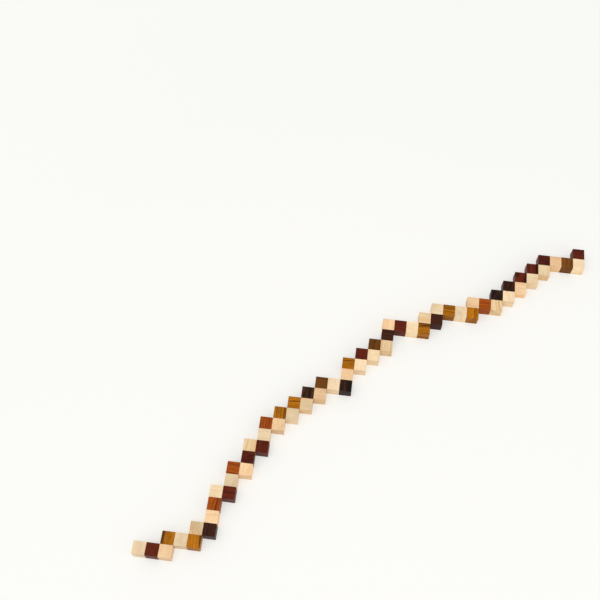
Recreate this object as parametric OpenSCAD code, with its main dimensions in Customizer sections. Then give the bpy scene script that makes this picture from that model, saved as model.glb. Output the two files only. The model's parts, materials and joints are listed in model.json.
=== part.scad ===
/* [Cubes] */
// Edge length of one wooden cube
cube_edge = 20; // [14:0.5:40]
// Width of the small bevel that eases every edge of a cube
edge_easing = 0.4; // [0.1:0.05:1.5]
// Gap between the faces of two neighbouring cubes
cube_gap = 0.1; // [0.05:0.05:0.5]

/* [Bores] */
// Diameter of the holes that the cord runs through
bore_d = 5; // [4:0.1:7]
// Full angle of the drill's point, which stays at the bottom of a blind hole
drill_point_angle = 118; // [90:1:140]
// Depth of the countersink that takes the sharp rim off a hole
rim_depth = 0.4; // [0.1:0.05:0.8]
// Wood left behind the blind hole in the two end cubes
end_wall = 5; // [3:0.5:6]

/* [Elastic cord] */
// Diameter of the cord
cord_d = 3; // [1.5:0.1:3.5]
// Clearance between the cord and the inner corner that it bends round
cord_clearance = 0.1; // [0.05:0.05:0.3]
// Clearance between a stopper knot and the wall of its blind hole
knot_clearance = 0.2; // [0.1:0.05:0.4]
// Length of a stopper knot
knot_length = 5; // [3:0.5:6]
// Depth of the glue between a knot and the bottom of its hole
glue_depth = 1; // [0.5:0.1:1.5]

/* [Hidden] */
$fn = 48;
// Length that a cut reaches past the face that it starts from
overcut = 1;

// Cubes in each straight run of the chain, where a corner cube counts in both of its runs
RUNS = [
    3, 2, 3, 2, 2, 4, 2, 3, 2, 3, 2, 3, 2, 2, 2, 2, 2, 2, 2, 2, 3, 3, 2,
    2, 2, 2, 2, 3, 4, 2, 2, 2, 4, 2, 3, 2, 2, 2, 2, 2, 2, 2, 2, 2, 4, 2
];

// Way that each step from one cube to the next goes: the runs turn to one side and the other in turn
STEPS = [for (run = [0 : len(RUNS) - 1]) for (step = [2 : RUNS[run]]) run % 2 == 0 ? [1, 0] : [0, 1]];
CUBES = len(STEPS) + 1;

// Place of each cube on the grid of the unfolded chain
CELLS = [
    for (i = 0, cell = [0, 0]; i < CUBES; cell = cell + (i < len(STEPS) ? STEPS[i] : [0, 0]), i = i + 1)
        cell
];

// The chain is turned so that the line from its first cube to its last lies along X
pitch = cube_edge + cube_gap;
span = CELLS[CUBES - 1] - CELLS[0];
heading = -atan2(span.y, span.x);
function turned(p) = [p.x * cos(heading) - p.y * sin(heading), p.x * sin(heading) + p.y * cos(heading)];
CENTRES = [for (cell = CELLS) turned(cell * pitch)];
middle = [
    (max([for (c = CENTRES) c.x]) + min([for (c = CENTRES) c.x])) / 2,
    (max([for (c = CENTRES) c.y]) + min([for (c = CENTRES) c.y])) / 2
];

bore_r = bore_d / 2;
cord_r = cord_d / 2;
// The cord hugs the inner corner where the two holes of a corner cube meet
bend_r = min(pitch / 2, (sqrt(2) * bore_r - cord_r - cord_clearance) / (sqrt(2) - 1));
knot_bulge = bore_r - knot_clearance - cord_r;
drill_point = bore_r / tan(drill_point_angle / 2);
end_bore_depth = cube_edge - end_wall - drill_point;
// Flat sides round the cord, and straight pieces in each of its quarter bends
cord_sides = 8;
bend_steps = 4;

// Pairs of cubes in one straight run, with a loose cube between, that share a node and move as one
TIED = [[1, 3], [8, 10], [39, 41], [45, 47], [60, 62]];
FIRST_OF_PAIR = [for (pair = TIED) pair[0]];
SECOND_OF_PAIR = [for (pair = TIED) pair[1]];
function partner(number) =
    let (at = search(number, FIRST_OF_PAIR)) len(at) > 0 ? SECOND_OF_PAIR[at[0]] : undef;
function two_digits(number) = str(number < 10 ? "0" : "", number);
function cube_name(number) =
    str("cube_", two_digits(number), is_undef(partner(number)) ? "" : str("_", two_digits(partner(number))));
NUMBERS = [for (number = [1 : CUBES]) if (len(search(number, SECOND_OF_PAIR)) == 0) number];

// Woods of the odd, pale cubes and of the even, dark cubes, in the order of the chain
PALE_WOODS = [
    "maple", "beech", "maple", "ash", "beech", "maple", "maple", "beech",
    "ash", "maple", "beech", "maple", "ash", "beech", "maple", "beech",
    "maple", "maple", "ash", "beech", "maple", "ash", "maple", "maple",
    "beech", "ash", "maple", "beech", "maple", "ash", "beech", "maple"
];
DARK_WOODS = [
    "rosewood", "teak", "teak", "wenge", "padauk", "rosewood", "padauk", "rosewood",
    "rosewood", "padauk", "teak", "teak", "ebony", "walnut", "ebony", "teak",
    "rosewood", "walnut", "wenge", "rosewood", "teak", "wenge", "teak", "teak",
    "padauk", "ebony", "wenge", "rosewood", "rosewood", "rosewood", "walnut", "rosewood"
];
function wood(number) =
    number % 2 == 1 ? PALE_WOODS[(number - 1) / 2] : DARK_WOODS[number / 2 - 1];
WOOD_COLOURS = [
    ["maple", "#E9D3A4"], ["beech", "#E2BD8E"], ["ash", "#DCC79C"],
    ["teak", "#A9682B"], ["padauk", "#93401F"], ["walnut", "#6E4A2C"],
    ["rosewood", "#5F231A"], ["wenge", "#3F2519"], ["ebony", "#1F1716"]
];
function colour_of(name) = WOOD_COLOURS[search([name], WOOD_COLOURS)[0]][1];

// Ways from a cube to its two neighbours on the chain, where an end cube has one
function way_back(number) = number > 1 ? -STEPS[number - 2] : undef;
function way_on(number) = number < CUBES ? STEPS[number - 1] : undef;
function way_angle(way) = atan2(way.y, way.x);
function is_straight(number) =
    !is_undef(way_back(number)) && !is_undef(way_on(number)) && way_back(number) == -way_on(number);

// Puts what is drawn round the origin, with +X as a grid direction, at a cube of the chain
module at_cube(number) {
    centre = CENTRES[number - 1] - middle;
    translate([centre.x, centre.y, cube_edge / 2]) rotate(heading) children();
}

// Square prism with bevelled corners, as long as the cube
module eased_prism() {
    half = cube_edge / 2;
    inner = half - edge_easing;
    linear_extrude(cube_edge, center = true)
        polygon([
            [half, inner], [inner, half], [-inner, half], [-half, inner],
            [-half, -inner], [-inner, -half], [inner, -half], [half, -inner]
        ]);
}

module eased_cube() {
    intersection() {
        eased_prism();
        rotate([90, 0, 0]) eased_prism();
        rotate([0, 90, 0]) eased_prism();
    }
}

// Hole along +X from depth under the +X face out of that face, with the drill's point and an eased rim
module drilled_hole(depth) {
    face = cube_edge / 2;
    rotate([0, 90, 0]) {
        translate([0, 0, face - depth]) cylinder(h = depth + overcut, r = bore_r);
        translate([0, 0, face - depth - drill_point]) cylinder(h = drill_point, r1 = 0, r2 = bore_r);
        translate([0, 0, face - rim_depth])
            cylinder(h = rim_depth + overcut, r1 = bore_r, r2 = bore_r + rim_depth + overcut);
    }
}

// Hole right through, with both rims eased
module through_hole() {
    drilled_hole(cube_edge / 2);
    rotate(180) drilled_hole(cube_edge / 2);
}

// One cube of the chain: drilled right through, from two sides that meet, or from one side only
module drilled_cube(number) {
    back = way_back(number);
    on = way_on(number);
    // Holes that meet at a right angle each reach past the middle by their own radius
    corner_depth = cube_edge / 2 + bore_r;
    depth = is_undef(back) || is_undef(on) ? end_bore_depth : corner_depth;
    at_cube(number) difference() {
        eased_cube();
        if (is_straight(number)) {
            rotate(way_angle(on)) through_hole();
        } else {
            if (!is_undef(back)) rotate(way_angle(back)) drilled_hole(depth);
            if (!is_undef(on)) rotate(way_angle(on)) drilled_hole(depth);
        }
    }
}

// The cube of one node, with the other cube of its pair where it has one
module chain_cube(number) {
    color(colour_of(wood(number))) {
        drilled_cube(number);
        if (!is_undef(partner(number))) drilled_cube(partner(number));
    }
}

// Ring of the cord: its centre and heading on the grid's plane, and its radius
function ring(centre, way, r) = [centre, way, r];

// Rings from the knot in an end cube to the cube's open face, for a cord that leaves it along way
function knot_rings(number, way) =
    let (
        centre = CELLS[number - 1] * pitch,
        start = cube_edge / 2 - end_bore_depth + glue_depth,
        swell = [0, 0.5, 0.85, 1, 1, 0.85, 0.5, 0],
        last = len(swell) - 1
    )
    [
        for (i = [0 : last])
            ring(centre + way * (start + knot_length * i / last), way, cord_r + knot_bulge * swell[i])
    ];

// Rings of the quarter bend in a corner cube
function bend_rings(number) =
    let (
        way_in = -way_back(number),
        way_out = way_on(number),
        middle_of_bend = CELLS[number - 1] * pitch - way_in * bend_r + way_out * bend_r
    )
    [
        for (i = [0 : bend_steps])
            let (angle = 90 * i / bend_steps)
                ring(
                    middle_of_bend + bend_r * (way_in * sin(angle) - way_out * cos(angle)),
                    way_in * cos(angle) + way_out * sin(angle),
                    cord_r
                )
    ];

function reversed(rings) = [for (i = [len(rings) - 1 : -1 : 0]) ring(rings[i][0], -rings[i][1], rings[i][2])];
CORD_RINGS = concat(
    knot_rings(1, way_on(1)),
    [for (number = [2 : CUBES - 1]) if (!is_straight(number)) each bend_rings(number)],
    reversed(knot_rings(CUBES, way_back(CUBES)))
);

// Corner points of one ring, square to its heading
function ring_points(one) =
    let (centre = turned(one[0]) - middle, side = turned([-one[1].y, one[1].x]))
    [
        for (i = [0 : cord_sides - 1])
            let (angle = 360 * i / cord_sides)
                [
                    centre.x + one[2] * cos(angle) * side.x,
                    centre.y + one[2] * cos(angle) * side.y,
                    cube_edge / 2 + one[2] * sin(angle)
                ]
    ];

// Elastic cord in one length through all the cubes, with a glued stopper knot in each end cube
module elastic_cord() {
    last_ring = len(CORD_RINGS) - 1;
    sides = [
        for (i = [0 : last_ring - 1]) for (j = [0 : cord_sides - 1])
            let (next = (j + 1) % cord_sides, at = i * cord_sides)
                [at + j, at + cord_sides + j, at + cord_sides + next, at + next]
    ];
    first_cap = [for (j = [0 : cord_sides - 1]) j];
    last_cap = [for (j = [cord_sides - 1 : -1 : 0]) last_ring * cord_sides + j];
    color("#E8E4D8")
        polyhedron([for (one = CORD_RINGS) each ring_points(one)], concat([first_cap, last_cap], sides));
}

for (number = NUMBERS)
    chain_cube(number);
elastic_cord();
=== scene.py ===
"""Snake cube puzzle: pale and dark hardwood cubes on one elastic cord, laid flat as a chain."""
import json
import math
import random

import bmesh
import bpy
from mathutils import Euler, Matrix, Vector


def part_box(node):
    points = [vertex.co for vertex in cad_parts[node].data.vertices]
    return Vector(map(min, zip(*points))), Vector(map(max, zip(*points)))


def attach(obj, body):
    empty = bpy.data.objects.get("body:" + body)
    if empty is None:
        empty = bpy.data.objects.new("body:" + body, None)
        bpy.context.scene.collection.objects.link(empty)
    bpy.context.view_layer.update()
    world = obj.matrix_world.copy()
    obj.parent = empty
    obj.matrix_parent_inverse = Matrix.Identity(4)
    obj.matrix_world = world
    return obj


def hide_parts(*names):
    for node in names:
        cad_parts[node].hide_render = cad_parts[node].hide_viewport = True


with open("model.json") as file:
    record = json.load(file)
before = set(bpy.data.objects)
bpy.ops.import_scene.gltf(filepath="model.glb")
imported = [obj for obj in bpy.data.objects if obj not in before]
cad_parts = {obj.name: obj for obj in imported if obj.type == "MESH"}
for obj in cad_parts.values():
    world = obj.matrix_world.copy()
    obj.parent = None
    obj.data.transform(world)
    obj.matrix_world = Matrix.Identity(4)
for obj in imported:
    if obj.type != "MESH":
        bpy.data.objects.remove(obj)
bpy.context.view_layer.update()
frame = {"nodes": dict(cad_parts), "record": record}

MM = 0.001
UP = Vector((0, 0, 1))

# Chain: cubes in each straight run, where a corner cube counts in both of its runs
RUNS = [
    3, 2, 3, 2, 2, 4, 2, 3, 2, 3, 2, 3, 2, 2, 2, 2, 2, 2, 2, 2, 3, 3, 2,
    2, 2, 2, 2, 3, 4, 2, 2, 2, 4, 2, 3, 2, 2, 2, 2, 2, 2, 2, 2, 2, 4, 2,
]
ROOT = 32

# Sizes that the CAD cubes share but their boxes don't show
EASING = 0.4 * MM
BORE_R = 2.5 * MM
RIM = 0.4 * MM
END_WALL = 5 * MM
DRILL_POINT = BORE_R / math.tan(math.radians(118 / 2))
CORD_R = 1.5 * MM
BEND_R = 4.67 * MM
KNOT_R = 2.3 * MM
KNOT_LENGTH = 5 * MM
KNOT_GLUE = 1 * MM

# Half the slit between the cord's stretches in two neighbouring cubes, which turn on each other
CORD_SLIT = 0.01 * MM

# How differently the cubes' edges are eased by hand, and the facets of an edge
EASING_SPREAD = (0.85, 1.25)
EASING_FACETS = 3

# Facets of round things
BORE_SIDES = 32
CORD_SIDES = 16
BEND_STEPS = 8
KNOT_WRAPS = 4
STRAND_SIDES = 10
WRAP_STEPS = 24

# Edges sharper than this stay sharp in the shading
SHARP = math.radians(35)


def node_of(number):
    """The CAD node that holds a cube: some hold two."""
    two_digits = f"{number:02d}"
    return next(name for name in frame["nodes"] if two_digits in name.split("_")[1:])


def body_of_node(node):
    bodies = frame["record"]["behaviour"]["bodies"]
    return next(body for body, nodes in bodies.items() if node in nodes)


def middle_of(node):
    low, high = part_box(node)
    return (low + high) / 2


def edge_of(node):
    low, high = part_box(node)
    return high.z - low.z


# The grid that the chain lies on, read from the root cube and its two neighbours
EDGE = edge_of(node_of(ROOT))
HALF = EDGE / 2
ALONG = middle_of(node_of(ROOT + 1)) - middle_of(node_of(ROOT))
ACROSS = middle_of(node_of(ROOT)) - middle_of(node_of(ROOT - 1))
CORD_END = ALONG.length / 2 - CORD_SLIT
RUN_WAYS = [ALONG if run % 2 == 0 else ACROSS for run in range(len(RUNS))]
STEPS = [RUN_WAYS[run] for run, cubes in enumerate(RUNS) for _ in range(cubes - 1)]
CUBES = len(STEPS) + 1


def centre_of(number):
    """Centre of a cube, counted along the chain from the root."""
    place = middle_of(node_of(ROOT))
    for step in range(ROOT, number):
        place = place + STEPS[step - 1]
    for step in range(number, ROOT):
        place = place - STEPS[step - 1]
    return place


def ways_from(number):
    """Ways from a cube to its one or two neighbours, the one before it first."""
    back = [-STEPS[number - 2].normalized()] if number > 1 else []
    on = [STEPS[number - 1].normalized()] if number < CUBES else []
    return back + on


def goes_straight(back, on):
    return back.dot(on) < -0.5


def upright_at(number, way):
    """Turns +Z to a way from the cube's centre, and moves the origin there."""
    turn = way.to_track_quat("Z", "Y").to_matrix().to_4x4()
    return Matrix.Translation(centre_of(number)) @ turn


# Camera at the photograph's angle and place
ELEVATION = math.radians(62)
AZIMUTH = math.radians(-34.95)
DISTANCE = 1.6
TARGET = Vector((-0.0018, 0.1940, 0))
FOCAL_SHARE = 917 / 600
SENSOR = 36


def add_camera():
    camera = bpy.data.cameras.new("camera")
    camera.sensor_width = SENSOR
    camera.lens = SENSOR * FOCAL_SHARE
    seen_from = Vector((
        math.cos(ELEVATION) * math.sin(AZIMUTH),
        -math.cos(ELEVATION) * math.cos(AZIMUTH),
        math.sin(ELEVATION),
    ))
    holder = bpy.data.objects.new("camera", camera)
    holder.location = TARGET + DISTANCE * seen_from
    holder.rotation_euler = (-seen_from).to_track_quat("-Z", "Y").to_euler()
    bpy.context.scene.collection.objects.link(holder)
    bpy.context.scene.camera = holder


def linear(colour):
    """sRGB hex to the linear RGBA that the shaders take."""
    parts = [int(colour[i:i + 2], 16) / 255 for i in (1, 3, 5)]
    rgb = [c / 12.92 if c <= 0.04045 else ((c + 0.055) / 1.055) ** 2.4 for c in parts]
    return (*rgb, 1.0)


def shaded(colour, amount):
    """A hex colour, made darker or lighter by a share of its value."""
    parts = [min(255, round(int(colour[i:i + 2], 16) * (1 + amount))) for i in (1, 3, 5)]
    return "#{:02X}{:02X}{:02X}".format(*parts)


# A Mix node's sockets for two colours and the mixed one, whose names its number sockets share
COLOUR_A, COLOUR_B, COLOUR_OUT = 6, 7, 2


def add(tree, kind, inputs=None, **settings):
    """Adds a node with its settings, and its inputs: a value, a socket or a node's first output."""
    made = tree.nodes.new(kind)
    for name, value in settings.items():
        setattr(made, name, value)
    for name, value in (inputs or {}).items():
        if isinstance(value, bpy.types.Node):
            value = value.outputs[0]
        if isinstance(value, bpy.types.NodeSocket):
            tree.links.new(value, made.inputs[name])
        else:
            made.inputs[name].default_value = value
    return made


def new_material(name):
    """An empty material, and the tree that its nodes go into."""
    material = bpy.data.materials.new(name)
    material.use_nodes = True
    material.node_tree.nodes.clear()
    return material, material.node_tree


# Woods, all sawn, sanded and lacquered satin: colours of the early and late wood of a year and the
# growth lines' spacing, the colour of the darker heartwood and the noise level that it starts from,
# and the open pores: colour, length and width, and the noise level that they start from
WOODS = {
    # Maple: cream and even, with sparse fine pores
    "maple": dict(early="#FCE3BE", late="#F7D5A8", year_mm=5.0, heart="#EECA9C", heart_from=0.66,
                  pore="#BC8E5A", pore_mm=(2.8, 0.22), pores_from=0.47),
    # Beech: peach and even, with many short brown flecks
    "beech": dict(early="#F9D5A9", late="#F3C290", year_mm=5.0, heart="#EAB486", heart_from=0.66,
                  pore="#B98552", pore_mm=(1.8, 0.22), pores_from=0.42),
    # Ash: cream with soft, broad yellow-brown late wood lines
    "ash": dict(early="#FBE0B4", late="#E8B170", year_mm=4.4, heart="#EAB87E", heart_from=0.60,
                pore="#B88A54", pore_mm=(2.8, 0.24), pores_from=0.48),
    # Teak: golden brown with dark uneven streaks and long dark pores
    "teak": dict(early="#C67A12", late="#9C5C0A", year_mm=4.0, heart="#4E2A08", heart_from=0.56,
                 pore="#381B05", pore_mm=(9.0, 0.34), pores_from=0.35),
    # Padauk: orange-brown with many dark pores
    "padauk": dict(early="#BA5C16", late="#8C3A0C", year_mm=4.2, heart="#471A08", heart_from=0.58,
                   pore="#301206", pore_mm=(6.0, 0.32), pores_from=0.34),
    # Walnut: olive brown with soft broad streaks
    "walnut": dict(early="#86501A", late="#603810", year_mm=4.6, heart="#382008", heart_from=0.56,
                   pore="#2A1706", pore_mm=(7.0, 0.30), pores_from=0.38),
    # Rosewood: dark red-brown with near-black streaks
    "rosewood": dict(early="#702812", late="#44150A", year_mm=3.8, heart="#220906", heart_from=0.55,
                     pore="#1A0705", pore_mm=(7.5, 0.32), pores_from=0.36),
    # Wenge: very dark brown with close lines
    "wenge": dict(early="#4A2414", late="#28100A", year_mm=2.6, heart="#160A06", heart_from=0.52,
                  pore="#100705", pore_mm=(7.0, 0.30), pores_from=0.38),
    # Ebony: near black, with brown left in some of its years
    "ebony": dict(early="#54301C", late="#2A150F", year_mm=3.6, heart="#120A0A", heart_from=0.46,
                  pore="#0C0708", pore_mm=(4.0, 0.28), pores_from=0.42),
}

# Woods of the odd, pale cubes and of the even, dark cubes, in the order of the chain
PALE = """
    maple beech maple ash beech maple maple beech ash maple beech maple ash beech maple beech
    maple maple ash beech maple ash maple maple beech ash maple beech maple ash beech maple
""".split()
DARK = """
    rosewood teak teak wenge padauk rosewood padauk rosewood
    rosewood padauk teak teak ebony walnut ebony teak
    rosewood walnut wenge rosewood teak wenge teak teak
    padauk ebony wenge rosewood rosewood rosewood walnut rosewood
""".split()

# The lacquer on pale and on dark wood: how much light its end grain and its clouds keep, and the
# lacquer's own roughness and shine, which is weak on dark wood so that its colour stays deep
LACQUER_ON_PALE = dict(end_grain=0.90, clouds=(0.91, 1.08), roughness=0.48, shine=0.22)
LACQUER_ON_DARK = dict(end_grain=0.80, clouds=(0.86, 1.10), roughness=0.42, shine=0.07)

# How differently the cubes are cut: the ways that their grain takes, how far it leans in degrees,
# where the log's pith lies in mm, how close the years are, and how light and how dark-hearted it is
GRAIN_WAYS = [way.normalized() for way in (ALONG, ACROSS, UP, ALONG, ACROSS)]
LEAN = (-5, 5)
PITH_MM = ((-12, 12), (22, 60), (-300, 300))
YEAR_SPREAD = (0.75, 1.35)
TONE_SPREAD = (-0.07, 0.02)
HEART_SPREAD = (-0.05, 0.05)

# Sizes in mm that all woods share: how often and how far the growth lines wander, how wide the
# heartwood's streaks, the clouds and the crowds of pores are, and how wide a fibre is. Fibres and
# pores are drawn up to three times as wide as real ones, so that they show.
WANDER_EVERY_MM = 12
WANDER_MM = (6.0, 6.0, 0.0)
STREAK_MM = 6
CLOUD_MM = 16
CROWD_MM = 3
FIBRE_MM = 0.45

# What a length along the grain counts for in a pattern that is drawn out long, or only somewhat
DRAWN_LONG = 0.06
DRAWN_PATCHY = 0.3

# The share of a year in which it darkens, and how unevenly wide the years are
DARKENING = 0.85
UNEVEN = 2.5

# How far a pore is from the next, in widths of a pore, and how deep it can be felt
PORE_SPACING = 1.5
PORE_DEPTH = 0.06 * MM


def wood_of(number):
    return PALE[number // 2] if number % 2 else DARK[number // 2 - 1]


def cut_from_log(chance):
    """The way of a cube's grain, the turn that puts it upright, and the cube's place from the pith."""
    grain = chance.choice(GRAIN_WAYS)
    lean = Euler([math.radians(chance.uniform(*LEAN)) for _ in range(3)]).to_matrix()
    round_grain = Matrix.Rotation(chance.uniform(0, math.tau), 3, "Z")
    turn = round_grain @ lean @ grain.rotation_difference(UP).to_matrix()
    return grain, turn, Vector([chance.uniform(*span) for span in PITH_MM])


def years_from_pith(tree, drawn_long, flat, year_mm):
    """Years: shells round the pith, bent by a slow drift and unevenly wide."""
    drift = add(tree, "ShaderNodeTexNoise", {
        "Vector": drawn_long, "Scale": 1 / WANDER_EVERY_MM, "Detail": 2.0,
    })
    bent = add(tree, "ShaderNodeVectorMath", {0: drift.outputs["Color"], 1: WANDER_MM, 2: flat},
               operation="MULTIPLY_ADD")
    radius = add(tree, "ShaderNodeVectorMath", {0: bent}, operation="LENGTH").outputs["Value"]
    even = add(tree, "ShaderNodeMath", {0: radius, 1: year_mm}, operation="DIVIDE")
    width = add(tree, "ShaderNodeTexNoise", {"W": even, "Scale": 0.7, "Detail": 1.0},
                noise_dimensions="1D")
    return add(tree, "ShaderNodeMath", {0: width, 1: UNEVEN, 2: even}, operation="MULTIPLY_ADD")


def late_wood(tree, years):
    """Late wood: a year darkens slowly to it and ends soon after, some years bolder than others."""
    season = add(tree, "ShaderNodeMath", {0: years}, operation="FRACT")
    darkens = add(tree, "ShaderNodeMapRange", {"Value": season, "From Max": DARKENING})
    ends = add(tree, "ShaderNodeMapRange", {
        "Value": season, "From Min": DARKENING, "To Min": 1.0, "To Max": 0.0,
    })
    year = add(tree, "ShaderNodeMath", {0: years}, operation="FLOOR")
    any_depth = add(tree, "ShaderNodeTexWhiteNoise", {"W": year}, noise_dimensions="1D")
    bold = add(tree, "ShaderNodeMapRange", {"Value": any_depth, "To Min": 0.35})
    late = add(tree, "ShaderNodeMath", {0: darkens, 1: ends}, operation="MULTIPLY")
    return add(tree, "ShaderNodeMath", {0: late, 1: bold}, operation="MULTIPLY")


def heartwood(tree, years, drawn_long, heart_from):
    """Darker heartwood in bands of some years, broken up along the grain."""
    bands = add(tree, "ShaderNodeTexNoise", {
        "W": years, "Scale": 0.9, "Detail": 3.0, "Roughness": 0.6,
    }, noise_dimensions="1D")
    broken = add(tree, "ShaderNodeTexNoise", {
        "Vector": drawn_long, "Scale": 1 / STREAK_MM, "Detail": 4.0, "Roughness": 0.6,
    })
    mixed = add(tree, "ShaderNodeMix", {"Factor": 0.35, "A": bands, "B": broken})
    return add(tree, "ShaderNodeMapRange", {
        "Value": mixed, "From Min": heart_from, "From Max": heart_from + 0.10, "To Max": 0.9,
    })


def light_and_shade(tree, fibre, drawn_patchy, normal, grain, lacquer):
    """Lighter and darker wood: fibres, soft clouds, and end grain that soaks up the lacquer."""
    fibre_light = add(tree, "ShaderNodeMapRange", {
        "Value": fibre, "From Min": 0.3, "From Max": 0.7, "To Min": 0.93, "To Max": 1.05,
    })
    cloud = add(tree, "ShaderNodeTexNoise", {
        "Vector": drawn_patchy, "Scale": 1 / CLOUD_MM, "Detail": 1.0,
    })
    darkest, lightest = lacquer["clouds"]
    cloud_light = add(tree, "ShaderNodeMapRange", {
        "Value": cloud, "From Min": 0.3, "From Max": 0.7, "To Min": darkest, "To Max": lightest,
    })
    facing = add(tree, "ShaderNodeVectorMath", {0: normal, 1: grain}, operation="DOT_PRODUCT")
    facing = add(tree, "ShaderNodeMath", {0: facing.outputs["Value"]}, operation="ABSOLUTE")
    end_light = add(tree, "ShaderNodeMapRange", {
        "Value": facing, "From Min": 0.7, "From Max": 0.95, "To Min": 1.0,
        "To Max": lacquer["end_grain"],
    })
    light = add(tree, "ShaderNodeMath", {0: fibre_light, 1: cloud_light}, operation="MULTIPLY")
    return add(tree, "ShaderNodeMath", {0: light, 1: end_light}, operation="MULTIPLY")


def open_pores(tree, dashed, drawn_patchy, width_mm, pores_from):
    """Open pores: dashes along the grain, dots across it, crowded in some places."""
    cells = add(tree, "ShaderNodeTexVoronoi", {
        "Vector": dashed, "Scale": 1 / (PORE_SPACING * width_mm),
    })
    dash = add(tree, "ShaderNodeMapRange", {
        "Value": cells, "From Min": 0.18, "From Max": 0.40, "To Min": 1.0, "To Max": 0.0,
    })
    crowd = add(tree, "ShaderNodeTexNoise", {
        "Vector": drawn_patchy, "Scale": 1 / CROWD_MM, "Detail": 1.0,
    })
    crowded = add(tree, "ShaderNodeMapRange", {
        "Value": crowd, "From Min": pores_from, "From Max": pores_from + 0.16, "To Max": 0.85,
    })
    return add(tree, "ShaderNodeMath", {0: dash, 1: crowded}, operation="MULTIPLY")


def sawn_wood(number):
    """Solid hardwood, sawn, sanded and lacquered satin: growth lines, fibres and open pores that
    run along one edge of the cube, darker end grain, and a soft shine that leaves the dark woods
    their deep colour."""
    wood = WOODS[wood_of(number)]
    lacquer = LACQUER_ON_PALE if number % 2 else LACQUER_ON_DARK
    chance = random.Random(number)
    material, tree = new_material(f"satin_lacquered_{wood_of(number)}_{number:02d}")

    # Coordinates in mm with Z along the grain, from a pith that lies beside the cube
    grain, turn, pith = cut_from_log(chance)
    place = add(tree, "ShaderNodeTexCoord")
    in_mm = add(tree, "ShaderNodeMapping", {
        "Vector": place.outputs["Object"], "Location": pith - turn @ (centre_of(number) / MM),
        "Rotation": turn.to_euler(), "Scale": (1 / MM, 1 / MM, 1 / MM),
    })
    # The same, drawn out along the grain
    pore_length, pore_width = wood["pore_mm"]
    drawn_long, drawn_patchy, dashed, flat = [
        add(tree, "ShaderNodeMapping", {"Vector": in_mm, "Scale": (1, 1, kept)})
        for kept in (DRAWN_LONG, DRAWN_PATCHY, pore_width / pore_length, 0)
    ]

    year_mm = wood["year_mm"] * chance.uniform(*YEAR_SPREAD)
    tone = chance.uniform(*TONE_SPREAD)
    heart_from = wood["heart_from"] + chance.uniform(*HEART_SPREAD)
    early, late, heart = [linear(shaded(wood[part], tone)) for part in ("early", "late", "heart")]

    # Early wood, then late wood, heartwood, light and shade, and pores on it
    years = years_from_pith(tree, drawn_long, flat, year_mm)
    lined = add(tree, "ShaderNodeMix", {
        "Factor": late_wood(tree, years), COLOUR_A: early, COLOUR_B: late,
    }, data_type="RGBA")
    streaked = add(tree, "ShaderNodeMix", {
        "Factor": heartwood(tree, years, drawn_long, heart_from),
        COLOUR_A: lined.outputs[COLOUR_OUT], COLOUR_B: heart,
    }, data_type="RGBA")
    fibre = add(tree, "ShaderNodeTexNoise", {
        "Vector": drawn_long, "Scale": 1 / FIBRE_MM, "Detail": 3.0, "Roughness": 0.65,
    })
    light = light_and_shade(tree, fibre, drawn_patchy, place.outputs["Normal"], grain, lacquer)
    solid = add(tree, "ShaderNodeVectorMath", {0: streaked.outputs[COLOUR_OUT], "Scale": light},
                operation="SCALE")
    pore = open_pores(tree, dashed, drawn_patchy, pore_width, wood["pores_from"])
    colour = add(tree, "ShaderNodeMix", {
        "Factor": pore, COLOUR_A: solid, COLOUR_B: linear(wood["pore"]),
    }, data_type="RGBA")

    # Pores and fibres can be felt under the thin lacquer
    height = add(tree, "ShaderNodeMath", {0: fibre, 1: 0.35, 2: 1.0}, operation="MULTIPLY_ADD")
    height = add(tree, "ShaderNodeMath", {0: height, 1: pore}, operation="SUBTRACT")
    bump = add(tree, "ShaderNodeBump", {"Height": height, "Strength": 0.5, "Distance": PORE_DEPTH})
    shader = add(tree, "ShaderNodeBsdfPrincipled", {
        "Base Color": colour.outputs[COLOUR_OUT], "Roughness": lacquer["roughness"], "IOR": 1.5,
        "Specular IOR Level": lacquer["shine"], "Normal": bump,
    })
    add(tree, "ShaderNodeOutputMaterial", {"Surface": shader})
    return material


# The cord's cover: how wide a strand is and how far it stands out, and its colour darkened by painted
# shade in the gaps between the strands, and on top.
# A wave of scale 1 repeats every 0.314 of its coordinate.
STRAND = 0.5 * MM
STRAND_HEIGHT = 0.1 * MM
COTTON_IN_GAP_SHADE = "#C9C3B2"
COTTON = "#F4F0E6"
WAVE_REPEAT = 0.314


def braided_elastic():
    """Rubber elastic under a braided cotton cover: off-white and matt, with crossed strands and
    painted shade in the gaps between them.
    """
    material, tree = new_material("braided_elastic")
    place = add(tree, "ShaderNodeTexCoord").outputs["Object"]
    over, under = [
        add(tree, "ShaderNodeTexWave", {
            "Vector": add(tree, "ShaderNodeMapping", {"Vector": place, "Rotation": (0, 0, turn)}),
            "Scale": WAVE_REPEAT / STRAND,
        }, bands_direction="DIAGONAL").outputs["Fac"]
        for turn in (0, math.pi / 2)
    ]
    weave = add(tree, "ShaderNodeMath", {0: over, 1: under}, operation="MULTIPLY")
    # Painted shade: the cotton's colour darkens to a greyer copy between the strands, where the weave
    # is low
    colour = add(tree, "ShaderNodeMix", {
        "Factor": weave, COLOUR_A: linear(COTTON_IN_GAP_SHADE), COLOUR_B: linear(COTTON),
    }, data_type="RGBA")
    bump = add(tree, "ShaderNodeBump", {
        "Height": weave, "Strength": 0.6, "Distance": STRAND_HEIGHT,
    })
    shader = add(tree, "ShaderNodeBsdfPrincipled", {
        "Base Color": colour.outputs[COLOUR_OUT], "Roughness": 0.85, "Normal": bump,
    })
    add(tree, "ShaderNodeOutputMaterial", {"Surface": shader})
    return material


def to_object(name, bm, material):
    mesh = bpy.data.meshes.new(name)
    bm.to_mesh(mesh)
    bm.free()
    mesh.materials.append(material)
    made = bpy.data.objects.new(name, mesh)
    bpy.context.scene.collection.objects.link(made)
    return made


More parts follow.
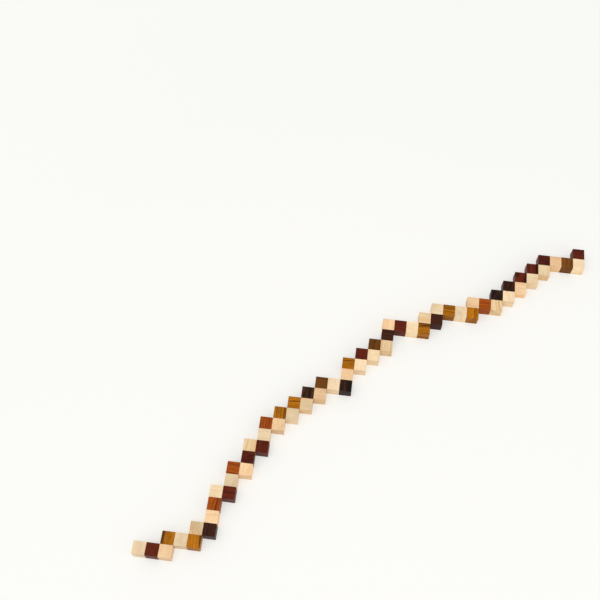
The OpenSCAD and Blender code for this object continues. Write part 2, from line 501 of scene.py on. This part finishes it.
def drill(number):
    """Cutter for a cube's holes: from each open side past the middle, with a countersunk rim."""
    ways = ways_from(number)
    if len(ways) == 1:
        start = END_WALL + DRILL_POINT - HALF
    else:
        start = 0.0 if goes_straight(*ways) else -BORE_R
    bm = bmesh.new()
    for way in ways:
        grown = bmesh.ops.create_circle(bm, cap_ends=True, radius=BORE_R,
                                        segments=BORE_SIDES)["verts"]
        bmesh.ops.translate(bm, vec=(0, 0, start), verts=grown)
        face = grown[0].link_faces[0]
        at, wide = start, BORE_R
        for next_at, next_wide in ((HALF - RIM, BORE_R), (HALF, BORE_R + RIM),
                                   (HALF + RIM, BORE_R + 2 * RIM)):
            grown_on = bmesh.ops.extrude_face_region(bm, geom=[face])["geom"]
            ring = [part for part in grown_on if isinstance(part, bmesh.types.BMVert)]
            bmesh.ops.translate(bm, vec=(0, 0, next_at - at), verts=ring)
            bmesh.ops.scale(bm, vec=(next_wide / wide, next_wide / wide, 1), verts=ring)
            at, wide = next_at, next_wide
            grown = grown + ring
            face = next(part for part in grown_on if isinstance(part, bmesh.types.BMFace))
        bmesh.ops.transform(bm, matrix=upright_at(number, way), verts=grown)
    bmesh.ops.recalc_face_normals(bm, faces=bm.faces)
    return to_object(f"drill_{number:02d}", bm, None)


def finish(piece):
    """Applies a piece's modifiers, and shades its rounded edges smooth and its flat faces flat."""
    graph = bpy.context.evaluated_depsgraph_get()
    done = bpy.data.meshes.new_from_object(piece.evaluated_get(graph))
    piece.modifiers.clear()
    piece.data = done
    done.name = piece.name
    done.shade_smooth()
    done.set_sharp_from_angle(angle=SHARP)
    flat = piece.modifiers.new("flat_faces", "WEIGHTED_NORMAL")
    flat.weight = 100
    flat.keep_sharp = True


def wooden_cube(number):
    """One cube: eased edges, drilled for the cord, and its own piece of wood."""
    easing = EASING * random.Random(100 + number).uniform(*EASING_SPREAD)
    bm = bmesh.new()
    bmesh.ops.create_cube(bm, size=EDGE)
    bmesh.ops.bevel(bm, geom=bm.edges, offset=easing, segments=EASING_FACETS, profile=0.5,
                    affect="EDGES", material=-1)
    turn = Matrix((ALONG.normalized(), ACROSS.normalized(), UP)).transposed().to_4x4()
    bmesh.ops.transform(bm, matrix=Matrix.Translation(centre_of(number)) @ turn, verts=bm.verts)
    if turn.determinant() < 0:
        bmesh.ops.reverse_faces(bm, faces=bm.faces)
    cube = to_object(f"wooden_cube_{number:02d}", bm, sawn_wood(number))
    cutter = drill(number)
    holes = cube.modifiers.new("holes", "BOOLEAN")
    holes.object = cutter
    holes.solver = "EXACT"
    holes.use_self = True
    finish(cube)
    bpy.data.objects.remove(cutter)
    node = node_of(number)
    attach(cube, body_of_node(node))
    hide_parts(node)


def knotted_end(bm, number, way):
    """The cord's end in an end cube: a straight tube with a knot of close wraps at its bottom."""
    bottom = END_WALL + DRILL_POINT + KNOT_GLUE - HALF
    tube = bmesh.ops.create_cone(bm, cap_ends=True, segments=CORD_SIDES, radius1=CORD_R,
                                 radius2=CORD_R, depth=CORD_END - bottom)["verts"]
    bmesh.ops.translate(bm, vec=(0, 0, (CORD_END + bottom) / 2), verts=tube)
    wrap_r = KNOT_LENGTH / KNOT_WRAPS / 2
    for wrap in range(KNOT_WRAPS):
        ring = bmesh.ops.create_circle(bm, radius=wrap_r, segments=STRAND_SIDES)["verts"]
        bmesh.ops.rotate(bm, matrix=Matrix.Rotation(math.pi / 2, 3, "X"), verts=ring)
        height = bottom + (2 * wrap + 1) * wrap_r
        bmesh.ops.translate(bm, vec=(KNOT_R - wrap_r, 0, height), verts=ring)
        edges = list({edge for vert in ring for edge in vert.link_edges})
        bmesh.ops.spin(bm, geom=ring + edges, cent=(0, 0, 0), axis=(0, 0, 1), angle=math.tau,
                       steps=WRAP_STEPS, use_merge=True, use_duplicate=False)
    bmesh.ops.transform(bm, matrix=upright_at(number, way), verts=bm.verts)


def drawn_on(bm, edges, by):
    """Draws the tube's open end on in a straight line, and gives the new end's points and edges."""
    drawn = bmesh.ops.extrude_edge_only(bm, edges=edges)["geom"]
    points = [part for part in drawn if isinstance(part, bmesh.types.BMVert)]
    bmesh.ops.translate(bm, vec=by, verts=points)
    return points, [part for part in drawn if isinstance(part, bmesh.types.BMEdge)]


def passing_cord(bm, number, back, on):
    """The cord through a straight or a corner cube, with a round bend in a corner cube."""
    ring = bmesh.ops.create_circle(bm, cap_ends=False, radius=CORD_R, segments=CORD_SIDES)["verts"]
    start = Matrix.Translation(back * CORD_END) @ upright_at(number, back)
    bmesh.ops.transform(bm, matrix=start, verts=ring)
    edges = list(bm.edges)
    if goes_straight(back, on):
        drawn_on(bm, edges, -back * 2 * CORD_END)
    else:
        points, edges = drawn_on(bm, edges, -back * (CORD_END - BEND_R))
        pivot = centre_of(number) + (back + on) * BEND_R
        bent = bmesh.ops.spin(bm, geom=points + edges, cent=pivot, axis=on.cross(back),
                              angle=math.pi / 2, steps=BEND_STEPS, use_merge=False,
                              use_duplicate=False)["geom_last"]
        edges = [part for part in bent if isinstance(part, bmesh.types.BMEdge)]
        drawn_on(bm, edges, on * (CORD_END - BEND_R))
    bmesh.ops.holes_fill(bm, edges=bm.edges)


def cord_in(number, cover):
    """The cord's stretch inside one cube, as a closed tube."""
    bm = bmesh.new()
    ways = ways_from(number)
    if len(ways) == 1:
        knotted_end(bm, number, *ways)
    else:
        passing_cord(bm, number, *ways)
    bmesh.ops.recalc_face_normals(bm, faces=bm.faces)
    piece = to_object(f"cord_in_cube_{number:02d}", bm, cover)
    piece.data.shade_smooth()
    piece.data.set_sharp_from_angle(angle=SHARP)
    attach(piece, body_of_node(node_of(number)))
    if number == ROOT:
        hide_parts("elastic_cord")


# Near white of the photograph's background
BACKDROP = "#FEFEFB"

# Table top: half its width in metres, and how far it stays below the cubes. Near them half of what
# shows of it is glow, and between the two distances in metres the glow grows to all of it.
TABLE_HALF = 8
TABLE_GAP = 0.1 * MM
GLOW_NEAR = 0.5
GLOW_GROWS = (0.6, 2.2)
TABLE_WHITE = "#FCFBF8"

# How strongly the room lights the cubes
ROOM_LIGHT = 0.72

# Soft lamps: where they hang and how wide they are, in metres, and their watts
LAMPS = {
    "key": ((-1.0, -0.2, 2.6), 2.2, 22),
    "fill": ((0.8, -2.2, 1.3), 2.0, 9),
}


def is_seen(tree):
    """1 for rays that show the background, straight or by way of gloss or glass, 0 for others."""
    ray = add(tree, "ShaderNodeLightPath").outputs
    seen = add(tree, "ShaderNodeMath", {0: ray["Is Camera Ray"], 1: ray["Is Glossy Ray"]},
               operation="MAXIMUM")
    return add(tree, "ShaderNodeMath", {0: seen, 1: ray["Is Transmission Ray"]},
               operation="MAXIMUM")


def add_floor():
    """Plain pale table top, just under the cubes. The glow in what shows of it keeps it near white
    and its shadows faint, and it fades into the backdrop far from the cubes."""
    bm = bmesh.new()
    bmesh.ops.create_grid(bm, x_segments=1, y_segments=1, size=TABLE_HALF)
    bmesh.ops.translate(bm, vec=(0, 0, -TABLE_GAP), verts=bm.verts)
    material, tree = new_material("matt_white_table_top")
    matt = add(tree, "ShaderNodeBsdfPrincipled", {
        "Base Color": linear(TABLE_WHITE), "Roughness": 0.9, "Specular IOR Level": 0.2,
    })
    glow = add(tree, "ShaderNodeEmission", {"Color": linear(BACKDROP)})
    place = add(tree, "ShaderNodeTexCoord").outputs["Object"]
    away = add(tree, "ShaderNodeVectorMath", {0: place}, operation="LENGTH").outputs["Value"]
    near, far = GLOW_GROWS
    glowing = add(tree, "ShaderNodeMapRange", {
        "Value": away, "From Min": near, "From Max": far, "To Min": GLOW_NEAR,
    })
    share = add(tree, "ShaderNodeMath", {0: is_seen(tree), 1: glowing}, operation="MULTIPLY")
    shader = add(tree, "ShaderNodeMixShader", {0: share, 1: matt, 2: glow})
    add(tree, "ShaderNodeOutputMaterial", {"Surface": shader})
    to_object("floor", bm, material)


def add_light():
    """A plain pale room, and square soft lamps that look at the middle of the chain."""
    world = bpy.data.worlds.new("soft_studio")
    world.use_nodes = True
    bpy.context.scene.world = world
    tree = world.node_tree
    tree.nodes.clear()
    strength = add(tree, "ShaderNodeMapRange", {
        "Value": is_seen(tree), "To Min": ROOM_LIGHT, "To Max": 1.0,
    })
    sky = add(tree, "ShaderNodeBackground", {"Color": linear(BACKDROP), "Strength": strength})
    add(tree, "ShaderNodeOutputWorld", {"Surface": sky})
    for name, (place, size, watts) in LAMPS.items():
        lamp = bpy.data.lights.new(name, "AREA")
        lamp.size = size
        lamp.energy = watts
        holder = bpy.data.objects.new(name, lamp)
        holder.location = place
        holder.rotation_euler = (-Vector(place)).to_track_quat("-Z", "Y").to_euler()
        bpy.context.scene.collection.objects.link(holder)


bpy.context.scene.view_settings.view_transform = "Standard"
add_camera()
add_light()
add_floor()
cord_cover = braided_elastic()
for number in range(1, CUBES + 1):
    wooden_cube(number)
    cord_in(number, cord_cover)
